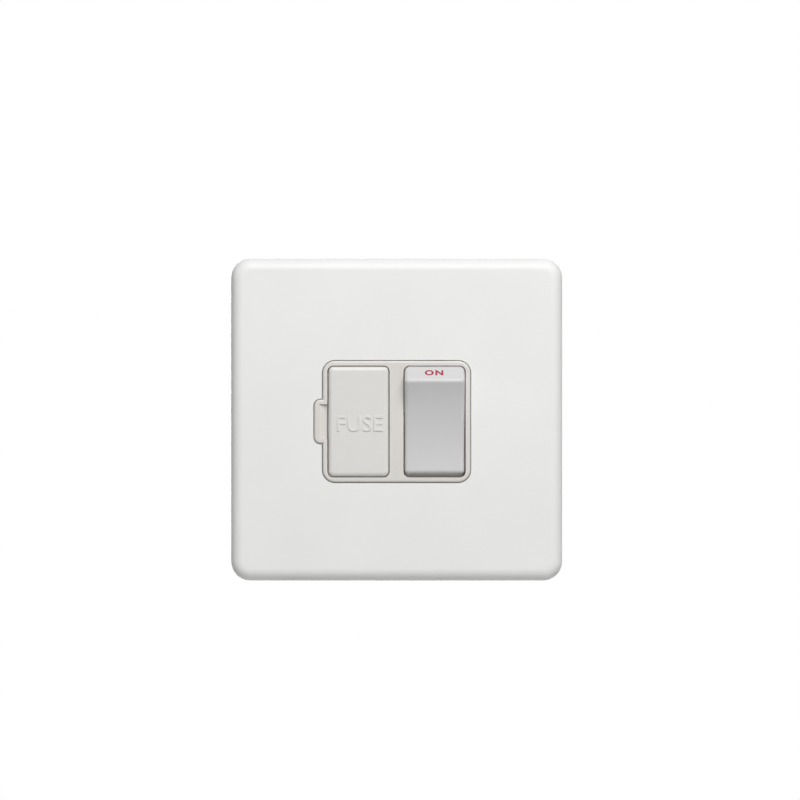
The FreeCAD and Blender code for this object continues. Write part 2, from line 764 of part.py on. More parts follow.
def bolt_group(name, places, y, head_radius, head_height, radius, length, turn):
    """All the screws of one kind, together in one node."""
    group = document.addObject("Part::Compound", name)
    group.Label = name
    group.Links = [bolt(f"{name}_{i + 1}", x, y, z, head_radius, head_height, radius, length, turn)
                   for i, (x, z) in enumerate(places)]
    return group


def draw_rocker_side(sketch):
    """Draw the rocker from the side: two ends about the pivot, two bevels and a hollow face."""
    ridge_z = window_height / 2 - size.rocker_ridge_inset
    heel = size.rocker_heel_depth
    skirt = size.rocker_skirt
    hollow = size.rocker_hollow
    face_radius = (ridge_z * ridge_z + hollow * hollow) / (hollow * 2)
    radius = end_radius.value
    heel_z = math.sqrt(radius ** 2 - heel.value ** 2)
    skirt_z = math.sqrt(radius ** 2 - skirt.value ** 2)
    low_angle = math.atan2(skirt_z, skirt.value)
    high_angle = math.atan2(heel_z, -heel.value)
    point = FreeCAD.Vector
    ring = Part.Circle(point(0, 0, 0), point(0, 0, 1), radius)
    upper_ridge = point(ridge_front.value, ridge_z.value, 0)
    lower_ridge = point(ridge_front.value, -ridge_z.value, 0)
    back, upper_end, upper_bevel, face, lower_bevel, lower_end = sketch.addGeometry([
        Part.LineSegment(point(skirt.value, -skirt_z, 0), point(skirt.value, skirt_z, 0)),
        Part.ArcOfCircle(ring, low_angle, high_angle),
        Part.LineSegment(point(-heel.value, heel_z, 0), upper_ridge),
        Part.Arc(lower_ridge, point((ridge_front + hollow).value, 0, 0), upper_ridge),
        Part.LineSegment(lower_ridge, point(-heel.value, -heel_z, 0)),
        Part.ArcOfCircle(ring, -high_angle, -low_angle),
    ], False)
    face_low = 1 if sketch.getPoint(face, 1).y < 0 else 2
    for pair in ((back, 2, upper_end, 1), (upper_end, 2, upper_bevel, 1),
                 (upper_bevel, 2, face, 3 - face_low), (face, face_low, lower_bevel, 1),
                 (lower_bevel, 2, lower_end, 1), (lower_end, 2, back, 1)):
        sketch.addConstraint(Sketcher.Constraint("Coincident", *pair))
    for end in (upper_end, lower_end):
        sketch.addConstraint(Sketcher.Constraint("Coincident", end, 3, -1, 1))
        bind(sketch, "Radius", (end,), end_radius)
    bind(sketch, "DistanceX", (-1, 1, back, 1), skirt)
    bind(sketch, "DistanceX", (-1, 1, back, 2), skirt)
    bind(sketch, "DistanceX", (-1, 1, upper_bevel, 1), -heel)
    bind(sketch, "DistanceX", (-1, 1, lower_bevel, 2), -heel)
    bind_point(sketch, upper_bevel, 2, ridge_front, ridge_z)
    bind_point(sketch, lower_bevel, 1, ridge_front, -ridge_z)
    bind(sketch, "Radius", (face,), face_radius)


def is_rocker_corner(edge):
    """Tell whether an edge runs along a side of the rocker, round one of its curved ends."""
    radius = getattr(edge.Curve, "Radius", 0)
    return edge.BoundBox.XLength < TINY and abs(radius - end_radius.value) < TINY


def rocker():
    """The switch rocker about its own pivot, then tilted to ON."""
    body = new_body("rocker")
    sketch = sketch_on(body, "SideOutline", "YZ_Plane", ZERO)
    extrude(body, "PartDesign::Pad", "Block", sketch, (draw_rocker_side,), rocker_width, False, True)
    round_edges(body, "PartDesign::Fillet", "CornerRound", size.window_corner - size.rocker_side_gap,
                is_rocker_corner)
    round_edges(body, "PartDesign::Fillet", "FaceRound", size.rocker_round,
                lambda edge: edge.BoundBox.YMax < -size.rocker_heel_depth.value + TINY)
    wall = size.rocker_wall
    back = size.rocker_skirt + OVERCUT
    crown_y = ridge_front + wall * 3 / 2
    crown_z = window_height / 2 - size.rocker_ridge_inset - wall
    slot(body, "Cavity", ZERO, rocker_width - wall * 2, polygon([
        (back, end_radius - wall), (-size.rocker_heel_depth, end_radius - wall * 2), (crown_y, crown_z),
        (ridge_front + size.rocker_hollow + wall, ZERO), (crown_y, -crown_z),
        (-size.rocker_heel_depth, wall * 2 - end_radius), (back, wall - end_radius)]))
    rib(body, "Trunnions", ZERO, rocker_width + size.trunnion_length * 2,
        circle(ZERO, ZERO, size.trunnion_radius))
    bore = size.plunger_radius + size.plunger_clearance
    socket_end = plunger_tip - size.socket_setback
    slab(body, "Sockets", socket_floor - wall, socket_end,
         *[circle(side * pole_pitch / 2, ZERO, bore + size.socket_wall) for side in (-1, 1)])
    well(body, "SocketBores", socket_floor, socket_end,
         *[circle(side * pole_pitch / 2, ZERO, bore) for side in (-1, 1)])
    place(body, rocker_x, pivot_y, ZERO, rocker_tilt)
    return body


def plunger(pole, x):
    """A moulded plunger whose nose rocks the moving contact."""
    body = new_body(f"plunger_{pole}")
    radius = size.plunger_radius
    nose = size.plunger_nose
    revolve(body, "Shape", polygon([
        (plunger_front, ZERO), (plunger_front, radius), (plunger_tip - nose, radius),
        (plunger_tip, radius - nose), (plunger_tip, ZERO)]))
    place(body, x, pivot_y, ZERO, rocker_tilt)
    return body


def plunger_spring(pole, x):
    """A compression spring between the rocker and its plunger, as arcs of half a turn."""
    wire = size.spring_wire_radius.value
    coil = size.plunger_radius.value - wire - size.spring_clearance.value
    half_turns = round(size.spring_turns.value * 2)
    first = socket_floor.value + wire
    rise = (plunger_front.value - socket_floor.value - wire * 2) / half_turns
    start = FreeCAD.Vector(coil, first, 0)
    corners = [math.radians(360 / WIRE_SIDES * side) for side in range(WIRE_SIDES + 1)]
    section = Part.Face(Part.makePolygon([
        start + FreeCAD.Vector(wire * math.cos(corner), wire * math.sin(corner), 0) for corner in corners]))
    arcs = []
    for step in range(half_turns):
        hand = 1 if step % 2 == 0 else -1
        middle = FreeCAD.Vector(0, first + (step + 0.5) * rise, 0)
        axis = FreeCAD.Vector(rise / 2, hand * coil, 0)
        arcs.append(section.revolve(middle, axis, 180))
        section.rotate(middle, axis, 180)
    spring = document.addObject("Part::Feature", f"plunger_spring_{pole}")
    spring.Label = spring.Name
    spring.Shape = arcs[0].multiFuse(arcs[1:])
    place(spring, x, pivot_y, ZERO, rocker_tilt)
    return spring


def moving_contact(pole, x):
    """A bar that rocks on its pins, tilted so that its upper end is in."""
    body = new_body(f"moving_contact_{pole}")
    half = size.bar_thickness / 2
    top = size.contact_arm + size.tip_radius + size.contact_margin
    slab(body, "Bar", -half, half, rectangle(-size.bar_width / 2, size.bar_width / 2, -size.bar_tail, top))
    rib(body, "Pins", ZERO, size.bar_width + (size.cradle_clearance + size.cradle_ear) * 2,
        circle(ZERO, ZERO, size.bar_pin_radius))
    place(body, x, bar_y, ZERO, -bar_tilt)
    return body


def moving_tip(pole, x):
    """The silver contact on the back of a moving bar."""
    body = new_body(f"moving_tip_{pole}")
    half = size.bar_thickness / 2
    slab(body, "Button", half, half + size.tip_height, circle(ZERO, size.contact_arm, size.tip_radius))
    place(body, x, bar_y, ZERO, -bar_tilt)
    return body


def add_cradle(body, x):
    """Two ears beside a moving bar, each with an open notch for its pin."""
    ear = size.cradle_ear
    middle = size.bar_width / 2 + size.cradle_clearance + ear / 2
    front = bar_y - size.bar_pin_radius - size.cradle_lip
    half = size.strip_width / 2
    notch = size.bar_pin_radius + size.pin_clearance
    for name, side in (("EarLeft", -1), ("EarRight", 1)):
        rib(body, name, x + side * middle, ear,
            rectangle(front, bracket_y + size.strip_thickness / 2, -half, half))
    reach = (middle + ear) * 2
    slot(body, "PinSeats", x, reach, circle(bar_y, ZERO, notch))
    slot(body, "PinMouths", x, reach, rectangle(front - OVERCUT, bar_y, -notch, notch))


def live_bracket():
    """The live cradle and its strap to the upper fuse clip."""
    body = new_body("live_bracket")
    half = size.strip_width / 2
    right = POLES["live"] + size.bar_width / 2 + size.cradle_clearance + size.cradle_ear
    left = drawer_x - half
    top = clip_z + size.clip_width / 2
    slab(body, "Strap", bracket_y, bracket_back_y,
         polygon([(left, -half), (right, -half), (right, half), (drawer_x + half, half),
                  (drawer_x + half, top), (left, top)]))
    add_cradle(body, POLES["live"])
    return body


def neutral_bracket():
    """The neutral cradle and its strap, stepped back to the load neutral terminal."""
    body = new_body("neutral_bracket")
    half = size.strip_width / 2
    width = size.bar_width + (size.cradle_clearance + size.cradle_ear) * 2
    thick = size.strip_thickness
    step_z = size.strip_lap - terminal_inner_z
    end_z = -(terminal_z + size.strip_lap)
    front = terminal_y - thick
    rib(body, "Strap", POLES["neutral"], width,
        polygon([(bracket_y, half), (bracket_back_y, half), (bracket_back_y, step_z + thick),
                 (terminal_y, step_z), (terminal_y, end_z), (front, end_z), (front, step_z),
                 (bracket_y, step_z + thick)]))
    add_cradle(body, POLES["neutral"])
    return body


def fixed_contact(pole, x):
    """The strip from a supply terminal down to its contact."""
    body = new_body(f"fixed_contact_{pole}")
    low = size.contact_arm - size.tip_radius - size.contact_margin
    slab(body, "Strip", fixed_strip_y, terminal_y,
         rectangle(x - size.strip_width / 2, x + size.strip_width / 2, low, terminal_z + size.strip_lap))
    return body


def fixed_tip(pole, x):
    """The silver contact on the front of a fixed strip."""
    body = new_body(f"fixed_tip_{pole}")
    slab(body, "Button", fixed_tip_y, fixed_strip_y, circle(x, size.contact_arm, size.tip_radius))
    return body


def terminal(name, places, side):
    """A brass block with a wire bore and a threaded screw hole for each way."""
    body = new_body(name)
    middle = side * terminal_z
    slab(body, "Block", terminal_y, housing_inner_y,
         rectangle(places[0] - size.terminal_width / 2, places[-1] + size.terminal_width / 2,
                   middle - size.terminal_height / 2, middle + size.terminal_height / 2))
    round_edges(body, "PartDesign::Chamfer", "Edges", size.terminal_chamfer,
                lambda edge: edge.BoundBox.YLength > TINY)
    shaft(body, "WireBores", middle, size.terminal_height + OVERCUT,
          *[circle(x, wire_y, size.terminal_bore_radius) for x in places])
    well(body, "ScrewBores", wire_y, housing_inner_y,
         *[circle(x, middle, size.terminal_screw_radius + size.screw_clearance) for x in places])
    return body


def fuse_drawer():
    """The drawer that holds the fuse: a face, two cheeks, a cradle and end walls."""
    body = new_body("fuse_carrier")
    width = size.window_width - size.drawer_gap * 2
    corner = size.window_corner - size.drawer_gap
    face_y = bezel_y - size.drawer_proud
    head_y = face_y + size.drawer_head
    wall_y = fuse_y + size.drawer_wall_reach
    side = size.drawer_side
    pocket = size.fuse_length + size.fuse_clearance * 4
    slab(body, "Head", face_y, head_y, rounded(drawer_x, ZERO, width, drawer_height, corner))
    round_edges(body, "PartDesign::Fillet", "FaceRound", size.drawer_round,
                lambda edge: lies_at_y(edge, face_y))
    slab(body, "Walls", head_y, wall_y,
         rounded(drawer_x, ZERO, width, drawer_height, corner),
         centred(drawer_x, ZERO, width - side * 2, pocket))
    slab(body, "Tails", wall_y, head_y + size.drawer_tail_depth,
         *[centred(drawer_x + hand * (width - side) / 2, ZERO, side, size.cradle_height) for hand in (-1, 1)])
    slab(body, "Cradle", head_y, fuse_y + size.cradle_grip,
         centred(drawer_x, ZERO, size.cradle_width, size.cradle_height))
    shaft(body, "FuseTrough", ZERO, pocket, circle(drawer_x, fuse_y, size.fuse_radius + size.fuse_clearance))
    slot_y = bezel_y + size.prise_slot_depth
    left = drawer_x - width / 2
    well(body, "PriseSlot", slot_y, slot_y + size.prise_slot_depth,
         rectangle(left - OVERCUT, left + size.prise_slot_depth, -size.prise_slot_height / 2,
                   size.prise_slot_height / 2))
    return body


def fuse_barrel():
    """The fuse's ceramic tube, which fills its caps."""
    barrel = document.addObject("Part::Cylinder", "fuse_barrel")
    barrel.Label = barrel.Name
    length = size.fuse_length - size.fuse_cap_wall * 2
    barrel.setExpression("Radius", (size.fuse_radius - size.fuse_cap_wall - size.barrel_clearance).text)
    barrel.setExpression("Height", length.text)
    place(barrel, drawer_x, fuse_y, -length / 2)
    return barrel


def fuse_cap(name, side):
    """A drawn cap, made as a cup about Y and stood on end."""
    body = new_body(name)
    radius = size.fuse_radius
    wall = size.fuse_cap_wall
    end = size.fuse_length / 2
    mouth = end - size.fuse_cap_length
    revolve(body, "Shape", polygon([
        (end, ZERO), (end, radius - wall), (end - wall, radius), (mouth, radius), (mouth, radius - wall),
        (end - wall, radius - wall), (end - wall, ZERO)]))
    place(body, drawer_x, fuse_y, ZERO, as_length(90 * side))
    return body


def add_clip_jaws(body, middle_z):
    """A base behind the fuse with a springy jaw at each side of it, flared at the mouth."""
    thick = size.clip_thickness
    back = clip_base_y + thick
    inner = jaw_outer - thick
    flare = size.clip_jaw_flare
    mouth = fuse_y - size.clip_jaw_reach
    low = middle_z - size.clip_width / 2
    slab(body, "Base", clip_base_y, back,
         rectangle(drawer_x - jaw_outer, drawer_x + jaw_outer, low, low + size.clip_width))
    for name, hand in (("JawLeft", -1), ("JawRight", 1)):
        layer(body, name, middle_z, size.clip_width, polygon([
            (drawer_x + hand * inner, back - thick / 2), (drawer_x + hand * jaw_outer, back - thick / 2),
            (drawer_x + hand * jaw_outer, mouth), (drawer_x + hand * (jaw_outer + flare), mouth - flare),
            (drawer_x + hand * (inner + flare), mouth - flare), (drawer_x + hand * inner, mouth)]))


def upper_fuse_clip():
    """The clip at the live side, whose foot folds inward onto the live bracket's strap."""
    body = new_body("fuse_clip_upper")
    thick = size.clip_thickness
    near = clip_z - size.clip_width / 2
    far = clip_z + size.clip_width / 2
    rib(body, "Strip", drawer_x, size.clip_leg_width, polygon([
        (clip_base_y, near), (clip_base_y, far + thick), (bracket_y, far + thick), (bracket_y, near),
        (bracket_y - thick, near), (bracket_y - thick, far), (clip_base_y + thick, far),
        (clip_base_y + thick, near)]))
    add_clip_jaws(body, clip_z)
    return body


def lower_fuse_clip():
    """The clip at the load side, whose foot folds outward onto the load live terminal."""
    body = new_body("fuse_clip_lower")
    thick = size.clip_thickness
    near = size.clip_width / 2 - clip_z
    far = -size.clip_width / 2 - clip_z
    foot_end = -(terminal_z + size.strip_lap)
    rib(body, "Strip", drawer_x, size.clip_leg_width, polygon([
        (clip_base_y, near), (clip_base_y, far - thick), (terminal_y - thick, far - thick),
        (terminal_y - thick, foot_end), (terminal_y, foot_end), (terminal_y, far),
        (clip_base_y + thick, far), (clip_base_y + thick, near)]))
    add_clip_jaws(body, -clip_z)
    return body


def switch_nodes():
    """Make the rocker and, for each pole, what it pushes and what that touches."""
    nodes = [rocker()]
    for pole, x in POLES.items():
        nodes += [plunger(pole, x), plunger_spring(pole, x), moving_contact(pole, x), moving_tip(pole, x),
                  fixed_contact(pole, x), fixed_tip(pole, x)]
    return nodes + [live_bracket(), neutral_bracket()]


def screw_nodes():
    """Make the three kinds of screw: two turned about, whose heads face the back."""
    return [
        bolt_group("frame_screws", frame_screw_places(), flange_y, size.frame_screw_head_radius,
                   size.frame_screw_head_height, size.frame_screw_radius,
                   size.flange_thickness + size.frame_thickness - size.frame_screw_recess, 0),
        bolt_group("housing_screws", housing_screw_places(), parting_y + size.housing_screw_grip,
                   size.housing_screw_head_radius, size.housing_screw_head_height,
                   size.housing_screw_radius, size.housing_screw_grip + size.housing_screw_bite, 180),
        bolt_group("terminal_screws", terminal_screw_places(), housing_inner_y,
                   size.terminal_screw_head_radius, size.terminal_screw_head_height,
                   size.terminal_screw_radius, size.terminal_screw_length, 180),
    ]


def build():
    """Make every piece and give back the one that each node shows."""
    nodes = [front_plate(), support_frame(), front_moulding(), rear_housing()]
    nodes += screw_nodes() + switch_nodes()
    nodes += [terminal("supply_live_terminal", [POLES["live"]], 1),
              terminal("supply_neutral_terminal", [POLES["neutral"]], 1),
              terminal("load_live_terminal", [drawer_x], -1),
              terminal("load_neutral_terminal", [POLES["neutral"]], -1),
              terminal("earth_terminal", wire_places(1)[2:], 1)]
    nodes += [fuse_drawer(), fuse_barrel(), fuse_cap("fuse_cap_upper", 1), fuse_cap("fuse_cap_lower", -1),
              upper_fuse_clip(), lower_fuse_clip()]
    return nodes


def check(nodes):
    """Stop on any failed feature, on a cut that took nothing and on a broken shape."""
    for item in document.Objects:
        if "Invalid" in item.State or "Error" in item.State:
            raise RuntimeError(f"{item.Label} failed: {item.State}")
        if item.TypeId == "PartDesign::Pocket" and item.BaseFeature.Shape.Volume - item.Shape.Volume < TINY:
            raise RuntimeError(f"{item.Label} cut nothing")
    for node in nodes:
        if node.Shape.isNull() or not node.Shape.isValid():
            raise RuntimeError(f"{node.Label} has no valid shape")


nodes = build()
document.recompute()
check(nodes)
os.makedirs("parts", exist_ok=True)
for node in nodes:
    node.Shape.exportStep(f"parts/{node.Label}.step")
    print(node.Label, "solids", len(node.Shape.Solids), "volume", round(node.Shape.Volume, 1))
print("bar pivot at y", round(bar_y.value, 8), "poles at x", [round(x.value, 4) for x in POLES.values()])
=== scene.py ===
"""Looks of a switched fused spur unit: finishes, lettering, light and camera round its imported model.

The model's nodes keep their shapes and places. This script gives each of them its finish, adds the word
that is raised on the fuse drawer and the one that is printed on the rocker, and sets up a plain studio.
"""

import logging
import math
from dataclasses import dataclass, field
from enum import Enum
from typing import Iterable

import bpy
from mathutils import Matrix, Vector


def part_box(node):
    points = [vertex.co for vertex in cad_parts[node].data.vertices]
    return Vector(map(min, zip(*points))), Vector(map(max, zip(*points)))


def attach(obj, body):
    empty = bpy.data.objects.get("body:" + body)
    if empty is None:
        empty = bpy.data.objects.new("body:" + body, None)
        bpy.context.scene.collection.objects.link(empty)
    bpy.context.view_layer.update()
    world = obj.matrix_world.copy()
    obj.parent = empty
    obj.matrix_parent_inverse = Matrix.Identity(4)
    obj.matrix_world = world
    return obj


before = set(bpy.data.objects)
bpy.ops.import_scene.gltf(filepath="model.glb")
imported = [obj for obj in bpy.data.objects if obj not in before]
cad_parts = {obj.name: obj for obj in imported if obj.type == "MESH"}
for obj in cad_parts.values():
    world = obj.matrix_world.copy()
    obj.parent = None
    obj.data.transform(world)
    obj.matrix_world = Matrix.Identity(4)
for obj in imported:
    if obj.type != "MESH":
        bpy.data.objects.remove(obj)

log = logging.getLogger("spur_unit")

MM = 0.001
"""One millimetre in the scene's unit, the metre."""

"""Where the model's box and the dressed part's box are written."""

SCREEN_TOP = 255
SCREEN_KNEE = 0.04045
SCREEN_SLOPE = 12.92
SCREEN_LIFT = 0.055
SCREEN_POWER = 2.4
"""A screen's standard brightness curve up to its top value: straight to the knee, and a power above it."""

Colour = tuple[float, float, float]
Link = bpy.types.NodeSocket


def linear(red: int, green: int, blue: int) -> Colour:
    """Turn a screen colour into the linear colour that shaders take.

    Args:
        red: Red, from 0 to 255.
        green: Green, from 0 to 255.
        blue: Blue, from 0 to 255.

    Returns:
        The linear colour.
    """
    def channel(value: int) -> float:
        """Turn one channel of the colour.

        Args:
            value: The channel, from 0 to 255.

        Returns:
            Its linear strength, from 0 to 1.
        """
        share = value / SCREEN_TOP
        if share <= SCREEN_KNEE:
            return share / SCREEN_SLOPE
        return ((share + SCREEN_LIFT) / (1 + SCREEN_LIFT)) ** SCREEN_POWER

    return channel(red), channel(green), channel(blue)


class Grain(Enum):
    """The marks that making a metal piece leaves on it, each with its scale along the three axes."""

    TURNED = (1.0, 0.06, 1.0)
    DRAWN = (1.0, 1.0, 0.05)
    STAMPED = (0.6, 1.0, 0.25)


class Board:
    """A tree of shader nodes, with short ways to add and join them."""

    def __init__(self, owner: bpy.types.Material | bpy.types.World) -> None:
        """Open the node tree of a material or of the world.

        Args:
            owner: The material or the world.
        """
        owner.use_nodes = True
        self.tree = owner.node_tree

    def add(self, kind: str, **values: object) -> bpy.types.Node:
        """Add a node and set its properties.

        Args:
            kind: The node's type.
            **values: Property names with their values.

        Returns:
            The new node.
        """
        node = self.tree.nodes.new(kind)
        for key, value in values.items():
            setattr(node, key, value)
        return node

    def join(self, source: Link, target: Link) -> None:
        """Link one socket to another."""
        self.tree.links.new(source, target)

    def place(self, kind: str = "Object") -> Link:
        """Give the place on the piece, in metres, or another kind of coordinates."""
        return self.add("ShaderNodeTexCoord").outputs[kind]

    def stretched(self, stretch: Vector) -> Link:
        """Give the place on the piece, stretched so that marks run long along an axis.

        Args:
            stretch: The scale along each axis, small along the axis that the marks follow.

        Returns:
            The stretched coordinates.
        """
        mapping = self.add("ShaderNodeMapping")
        mapping.inputs["Scale"].default_value = stretch
        self.join(self.place(), mapping.inputs["Vector"])
        return mapping.outputs["Vector"]

    def noise(self, place: Link, spacing: float, detail: float = 2.0) -> Link:
        """Give a noise whose marks are about one spacing apart.

        Args:
            place: The coordinates to read.
            spacing: The distance between marks, in metres.
            detail: How many finer layers are laid over the first.

        Returns:
            The noise, from 0 to 1.
        """
        noise = self.add("ShaderNodeTexNoise")
        noise.inputs["Scale"].default_value = 1 / spacing
        noise.inputs["Detail"].default_value = detail
        self.join(place, noise.inputs["Vector"])
        return noise.outputs["Fac"]

    def spread(self, source: Link, low: float, high: float, ends: tuple[float, float] = (0.3, 0.7)) -> Link:
        """Map a value, such as the middle of a noise, to a range.

        Args:
            source: The value.
            low: What its low end becomes.
            high: What its high end becomes.
            ends: Its low end and its high end.

        Returns:
            The mapped value.
        """
        ranged = self.add("ShaderNodeMapRange")
        ranged.inputs["From Min"].default_value = ends[0]
        ranged.inputs["From Max"].default_value = ends[1]
        ranged.inputs["To Min"].default_value = low
        ranged.inputs["To Max"].default_value = high
        self.join(source, ranged.inputs["Value"])
        return ranged.outputs["Result"]

    def blend(self, share: Link, first: Colour, second: Colour) -> Link:
        """Mix two colours.

        Args:
            share: How much of the second colour shows, from 0 to 1.
            first: The first colour.
            second: The second colour.

        Returns:
            The mixed colour.
        """
        mix = self.add("ShaderNodeMix", data_type="RGBA")
        colours = {socket.name: socket for socket in mix.inputs if socket.type == "RGBA"}
        colours["A"].default_value = (*first, 1)
        colours["B"].default_value = (*second, 1)
        self.join(share, mix.inputs["Factor"])
        return next(socket for socket in mix.outputs if socket.type == "RGBA")

    def bump(self, height: Link, strength: float, depth: float, under: Link | None = None) -> Link:
        """Turn a height into a bent normal.

        Args:
            height: The height, from 0 to 1.
            strength: How much of the bend is kept.
            depth: The height of the marks, in metres.
            under: A normal that is already bent.

        Returns:
            The bent normal.
        """
        bump = self.add("ShaderNodeBump")
        bump.inputs["Strength"].default_value = strength
        bump.inputs["Distance"].default_value = depth
        self.join(height, bump.inputs["Height"])
        if under is not None:
            self.join(under, bump.inputs["Normal"])
        return bump.outputs["Normal"]

    def seen(self) -> Link:
        """Tell the rays that look, straight or by a mirror or glass, from the rays that light.

        Returns:
            1 for a ray that looks and 0 for a ray that lights.
        """
        path = self.add("ShaderNodeLightPath")
        seen = path.outputs["Is Camera Ray"]
        for kind in ("Is Glossy Ray", "Is Transmission Ray"):
            either = self.add("ShaderNodeMath", operation="MAXIMUM")
            self.join(seen, either.inputs[0])
            self.join(path.outputs[kind], either.inputs[1])
            seen = either.outputs[0]
        return seen

    def either(self, share: Link, first: Link, second: Link) -> Link:
        """Mix two shaders.

        Args:
            share: How much of the second shader shows, from 0 to 1.
            first: The first shader.
            second: The second shader.

        Returns:
            The mixed shader.
        """
        mix = self.add("ShaderNodeMixShader")
        self.join(share, mix.inputs[0])
        self.join(first, mix.inputs[1])
        self.join(second, mix.inputs[2])
        return mix.outputs["Shader"]


class MaterialBoard(Board):
    """A new material with its one shader."""

    def __init__(self, name: str) -> None:
        """Start the material.

        Args:
            name: The material's name.
        """
        self.material = bpy.data.materials.new(name)
        super().__init__(self.material)
        self.shader = self.tree.nodes["Principled BSDF"]


def shaded(colour: Colour, share: float) -> Colour:
    """Give a colour at a share of its strength."""
    return colour[0] * share, colour[1] * share, colour[2] * share


@dataclass(frozen=True)
class MouldedPlastic:
    """A moulded plastic with a faint tone drift and a fine mould texture."""

    name: str
    colour: Colour
    roughness: float = 0.36
    specular: float = 0.4
    drift: float = 0.012
    drift_spacing: float = 22 * MM
    sheen_drift: float = 0.03
    sheen_scale: float = 3.0
    texture_spacing: float = 0.28 * MM
    texture_depth: float = 0.004 * MM
    texture_detail: float = 3.0
    texture_strength: float = 0.5
    flow_scale: float = 2.0
    flow_depth: float = 0.016 * MM
    flow_strength: float = 0.4

    def material(self) -> bpy.types.Material:
        """Make the material.

        Returns:
            The new material.
        """
        board = MaterialBoard(self.name)
        place = board.place()
        tone = board.spread(board.noise(place, self.drift_spacing), 0, 1)
        colour = board.blend(tone, shaded(self.colour, 1 - self.drift), shaded(self.colour, 1 + self.drift))
        board.join(colour, board.shader.inputs["Base Color"])
        sheen = board.noise(place, self.drift_spacing / self.sheen_scale)
        board.join(board.spread(sheen, self.roughness - self.sheen_drift, self.roughness + self.sheen_drift),
                   board.shader.inputs["Roughness"])
        board.shader.inputs["Specular IOR Level"].default_value = self.specular
        pores = board.bump(board.noise(place, self.texture_spacing, self.texture_detail),
                           self.texture_strength, self.texture_depth)
        flow = board.bump(board.noise(place, self.drift_spacing / self.flow_scale),
                          self.flow_strength, self.flow_depth, pores)
        board.join(flow, board.shader.inputs["Normal"])
        return board.material


@dataclass(frozen=True)
class BareMetal:
    """A metal with the marks of its making and a faint tarnish."""

    name: str
    colour: Colour
    grain: Grain
    roughness: float = 0.3
    tarnish: float = 0.82
    tarnish_spacing: float = 2.4 * MM
    tarnish_detail: float = 4.0
    sheen_below: float = 0.06
    sheen_above: float = 0.1
    grain_spacing: float = 0.12 * MM
    grain_depth: float = 0.006 * MM
    grain_strength: float = 0.5

    def material(self) -> bpy.types.Material:
        """Make the material.

        Returns:
            The new material.
        """
        board = MaterialBoard(self.name)
        place = board.place()
        patches = board.spread(board.noise(place, self.tarnish_spacing, self.tarnish_detail), 0, 1)
        colour = board.blend(patches, shaded(self.colour, self.tarnish), self.colour)
        board.join(colour, board.shader.inputs["Base Color"])
        board.shader.inputs["Metallic"].default_value = 1.0
        lines = board.noise(board.stretched(Vector(self.grain.value)), self.grain_spacing)
        board.join(board.spread(lines, self.roughness - self.sheen_below, self.roughness + self.sheen_above),
                   board.shader.inputs["Roughness"])
        board.join(board.bump(lines, self.grain_strength, self.grain_depth), board.shader.inputs["Normal"])
        return board.material


@dataclass(frozen=True)
class GlazedCeramic:
    """The fuse's tube: pale, glazed and very slightly flecked."""

    name: str
    colour: Colour
    fleck_shade: float = 0.94
    fleck_spacing: float = 0.5 * MM
    fleck_detail: float = 4.0
    sheen_low: float = 0.18
    sheen_high: float = 0.3
    sheen_spacing: float = 3 * MM
    glaze: float = 0.4
    ripple_spacing: float = 1.2 * MM
    ripple_depth: float = 0.01 * MM
    ripple_strength: float = 0.3

    def material(self) -> bpy.types.Material:
        """Make the material.

        Returns:
            The new material.
        """
        board = MaterialBoard(self.name)
        place = board.place()
        flecks = board.spread(board.noise(place, self.fleck_spacing, self.fleck_detail), 0, 1)
        colour = board.blend(flecks, shaded(self.colour, self.fleck_shade), self.colour)
        board.join(colour, board.shader.inputs["Base Color"])
        sheen = board.spread(board.noise(place, self.sheen_spacing), self.sheen_low, self.sheen_high)
        board.join(sheen, board.shader.inputs["Roughness"])
        board.shader.inputs["Coat Weight"].default_value = self.glaze
        ripple = board.bump(board.noise(place, self.ripple_spacing), self.ripple_strength, self.ripple_depth)
        board.join(ripple, board.shader.inputs["Normal"])
        return board.material


@dataclass(frozen=True)
class PadInk:
    """Ink printed on plastic: dense, slightly uneven and a little duller than its ground."""

    name: str
    colour: Colour
    thin_share: float = 1.15
    thin_lift: float = 0.02
    density_spacing: float = 0.25 * MM
    density_detail: float = 3.0
    sheen_low: float = 0.42
    sheen_high: float = 0.55
    sheen_spacing: float = 0.4 * MM
    grit_spacing: float = 0.12 * MM
    grit_depth: float = 0.002 * MM
    grit_strength: float = 0.3

    def thin(self) -> Colour:
        """Give the paler colour of the ink where it lies thin."""
        red, green, blue = shaded(self.colour, self.thin_share)
        return red + self.thin_lift, green + self.thin_lift, blue + self.thin_lift

    def material(self) -> bpy.types.Material:
        """Make the material.

        Returns:
            The new material.
        """
        board = MaterialBoard(self.name)
        place = board.place()
        density = board.spread(board.noise(place, self.density_spacing, self.density_detail), 0, 1)
        board.join(board.blend(density, self.colour, self.thin()), board.shader.inputs["Base Color"])
        sheen = board.spread(board.noise(place, self.sheen_spacing), self.sheen_low, self.sheen_high)
        board.join(sheen, board.shader.inputs["Roughness"])
        grit = board.bump(board.noise(place, self.grit_spacing), self.grit_strength, self.grit_depth)
        board.join(grit, board.shader.inputs["Normal"])
        return board.material


